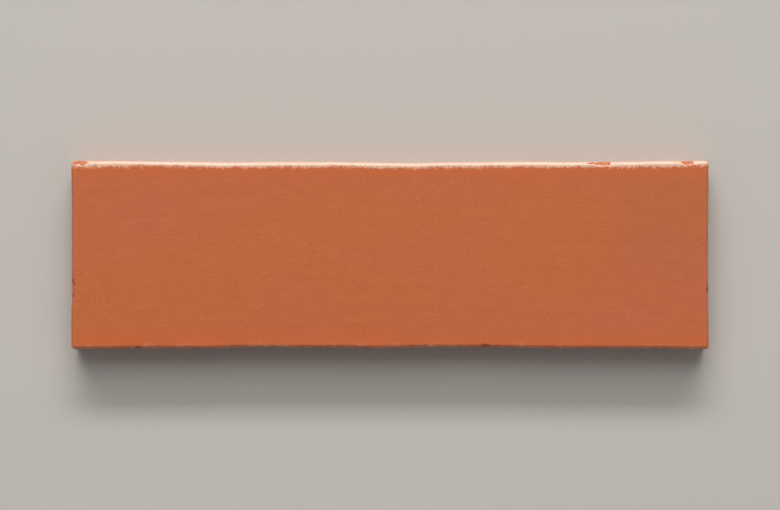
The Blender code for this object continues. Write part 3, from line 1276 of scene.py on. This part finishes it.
# %% Finish: the ends
WIRE_CUT_END = add_finish(
    "wire_cut_end",
    clouds={
        "Warm": colour(178, 96, 58),
        "Rosy": colour(184, 104, 72),
        "Cloud Size": 0.02,
        "Mottle": 0.30,
    },
    grain={"Grain Size": 0.0010, "Grain": 0.46, "Crumbs": 0.30, "Spots": 0.20, "Depth": 0.26},
    lines={"Squeeze": (6.0, 8.0, 1.0), "Line Size": 0.010, "Depth": 0.10},
    rub={"Rub Highlight": 0.30, "Breakup Size": 0.002},
    smoke={"Middle": (0.12, 0.03, 0.012), "Reach": (0.03, 0.02, 0.01), "Strength": 0.30},
    tears={"Squeeze": (1.0, 1.3, 1.0), "Tear Size": 0.0016, "Share": 0.36, "Depth": 0.24},
    dust={"Amount": 0.30, "Crumb Size": 0.0012},
    line_shade=0.04,
    crumb_share=0.40,
    spot_share=0.6,
    rim_share=0.10,
    tear_shade=0.26,
    roughness=0.80,
    burnish=0.08,
    glaze=0.15,
    shine=0.35,
)

# %% [markdown]
# ## The keyed back
#
# The back is turned away from the fire's draught. It keeps a broad patch of smoke and the most
# dust, and the die's teeth have scored it deeply along its length.

# %% Finish: the back
KEYED_BACK = add_finish(
    "keyed_back",
    clouds={
        "Warm": colour(182, 101, 62),
        "Rosy": colour(188, 110, 78),
        "Cloud Size": 0.045,
        "Mottle": 0.30,
    },
    grain={"Grain Size": 0.0009, "Grain": 0.32, "Crumbs": 0.14, "Spots": 0.25, "Depth": 0.11},
    lines={"Squeeze": (1.0, 22.0, 22.0), "Line Size": 0.020, "Depth": 0.14},
    rub={"Rub Highlight": 0.30, "Breakup Size": 0.003},
    smoke={"Middle": (-0.05, 0.0, 0.0), "Reach": (0.09, 0.04, 0.02), "Strength": 0.32},
    tears={"Squeeze": (1.0, 1.8, 1.8), "Tear Size": 0.0026, "Share": 0.28, "Depth": 0.22},
    dust={"Amount": 0.40, "Crumb Size": 0.0014},
    line_shade=0.07,
    crumb_share=0.35,
    spot_share=0.6,
    rim_share=0.10,
    tear_shade=0.30,
    roughness=0.76,
    burnish=0.06,
    glaze=0.10,
    shine=0.35,
)

# %% [markdown]
# ## Give each side its finish
#
# A face of the mesh takes its finish from the side it lies on. The smooth skin of the face runs
# over its arris and ends where the slitting wire cut it, in a ragged line. A second mesh for that
# skin would leave a gap, so noise decides cell by cell where the line runs.

# %% Faces to finishes
SKIN_EDGE = 0.8 * MM
RAG_SIZE = 2.2 * MM
SHARP_TURN = math.radians(42.0)

ragged = 0.5 + lumps(RAG_SIZE, stretch=(2.0, 2.0, 1.0), seed=12)
skin_limit = THICKNESS - FACE_ARRIS - SKIN_EDGE * ragged
in_skin = (block[:, 2] >= skin_limit)[corners].all(axis=1)

finish = np.full(len(corners), KEYED_BACK)
finish[on_bed[corners].all(axis=1)] = SLIT_EDGE
finish[is_end_face[:, 0]] = WIRE_CUT_END
finish[in_skin] = FACE_SKIN
mesh.polygons.foreach_set("material_index", finish)
mesh.polygons.foreach_set("use_smooth", [True] * len(mesh.polygons))
mesh.set_sharp_from_angle(angle=SHARP_TURN)
mesh.update()
print("faces of each finish:", np.bincount(finish))

# %% [markdown]
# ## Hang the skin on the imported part
#
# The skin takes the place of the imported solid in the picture, while the solid goes on serving for
# collisions. It rides on the one body that the part has.

# %% Ride and replace
slip = bpy.data.objects.new("slip_skin", mesh)
bpy.context.scene.collection.objects.link(slip)
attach(slip, "root")
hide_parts("brick_slip")
print("pieces:", [slip.name])

# %% [markdown]
# ## A pale floor
#
# Nothing holds the slip, so it lies on its keyed back with its face up. A square floor would show
# its corners in a low view, so the floor is a wide disc. It lies a hair below the ribs, because
# two surfaces in one place flicker.

# %% Floor
FLOOR_RADIUS = 1.9
FLOOR_GAP = 0.02 * MM
FLOOR_SIDES = 96
FLOOR_COLOUR = colour(188, 184, 178)
FLOOR_ROUGHNESS = 0.9


def pale_floor():
    """A wide round floor just under the slip."""
    bm = bmesh.new()
    bmesh.ops.create_circle(bm, cap_ends=True, segments=FLOOR_SIDES, radius=FLOOR_RADIUS)
    floor_mesh = bpy.data.meshes.new("pale_floor")
    bm.to_mesh(floor_mesh)
    bm.free()
    material = bpy.data.materials.new("pale_floor")
    material.use_nodes = True
    shader = material.node_tree.nodes["Principled BSDF"]
    shader.inputs["Base Color"].default_value = FLOOR_COLOUR
    shader.inputs["Roughness"].default_value = FLOOR_ROUGHNESS
    floor_mesh.materials.append(material)
    floor = bpy.data.objects.new("pale_floor", floor_mesh)
    floor.location.z = -FLOOR_GAP
    bpy.context.scene.collection.objects.link(floor)
    return floor


pale_floor()
print("floor, m across:", 2.0 * FLOOR_RADIUS)

# %% [markdown]
# ## Fill light from the room
#
# The world gives a weak fill light from all round, so that no shadow is black. A camera that
# looks over the floor's edge should see a paler wall than that fill. So the world has two
# strengths: one for what lights the slip, and one for what the camera sees directly.

# %% World
FILL_STRENGTH = 0.34
WALL_STRENGTH = 0.66
WALL_COLOUR = colour(236, 236, 236)

world = bpy.data.worlds.new("soft_room")
world.use_nodes = True
room = world.node_tree
seen = add(room, "ShaderNodeLightPath").outputs["Is Camera Ray"]
strength = sums(room, "MULTIPLY_ADD", seen, WALL_STRENGTH - FILL_STRENGTH, FILL_STRENGTH)
room.nodes["Background"].inputs["Color"].default_value = WALL_COLOUR
room.links.new(strength, room.nodes["Background"].inputs["Strength"])
bpy.context.scene.world = world
bpy.context.scene.view_settings.view_transform = "Standard"
print("world:", world.name)

# %% [markdown]
# ## Two lights
#
# The photograph is lit softly from above, so that every upper arris catches a bright line and every
# lower one throws a thin shadow. Here the camera looks straight down, and up in the picture is +Y. A
# wide soft light stands on that side, and a long narrow one, lower down, draws the bright line
# together with the highlight painted on that arris. A low light would burn out the floor in front of
# it, so it gets a small spread, as a grid in front of a lamp gives.

# %% Lights
LIGHT_DISTANCE = 2.4


def studio_light(name, azimuth, elevation, size, watts, tint, spread):
    """A rectangular light aimed at the slip. Azimuth 0 stands at +Y, and 90 at -X."""
    light = bpy.data.lights.new(name, "AREA")
    light.shape = "RECTANGLE"
    light.size, light.size_y = size
    light.energy = watts
    light.color = tint
    light.spread = math.radians(spread)
    lamp = bpy.data.objects.new(name, light)
    turn, rise = math.radians(azimuth), math.radians(elevation)
    lamp.location = (
        -LIGHT_DISTANCE * math.sin(turn) * math.cos(rise),
        LIGHT_DISTANCE * math.cos(turn) * math.cos(rise),
        LIGHT_DISTANCE * math.sin(rise),
    )
    lamp.rotation_euler = (-lamp.location).to_track_quat("-Z", "Y").to_euler()
    bpy.context.scene.collection.objects.link(lamp)
    print("light:", name, watts, "W")


studio_light(
    "window_light",
    azimuth=6.0,
    elevation=52.0,
    size=(1.9, 1.7),
    watts=16.0,
    tint=(1.0, 0.985, 0.96),
    spread=140.0,
)
studio_light(
    "arris_light",
    azimuth=0.0,
    elevation=28.0,
    size=(3.0, 0.4),
    watts=13.4,
    tint=(1.0, 0.98, 0.95),
    spread=70.0,
)

# %% [markdown]
# ## The camera
#
# The photograph looks straight at the faces, so the camera looks straight down. A short lens
# would spread the sides of the slip outwards. A long one keeps them out of sight, as they are on
# a wall. How high it hangs follows from how wide the picture is at the face.

# %% Camera
PICTURE_WIDTH = 0.293
LENS = 100.0
SENSOR = 36.0
NEAREST_SEEN = 10.0 * MM

camera = bpy.data.cameras.new("straight_down")
camera.lens = LENS
camera.sensor_width = SENSOR
camera.clip_start = NEAREST_SEEN
viewer = bpy.data.objects.new("straight_down", camera)
viewer.location.z = THICKNESS + PICTURE_WIDTH * LENS / SENSOR
bpy.context.scene.collection.objects.link(viewer)
bpy.context.scene.camera = viewer
print("camera height, m:", round(viewer.location.z, 3))
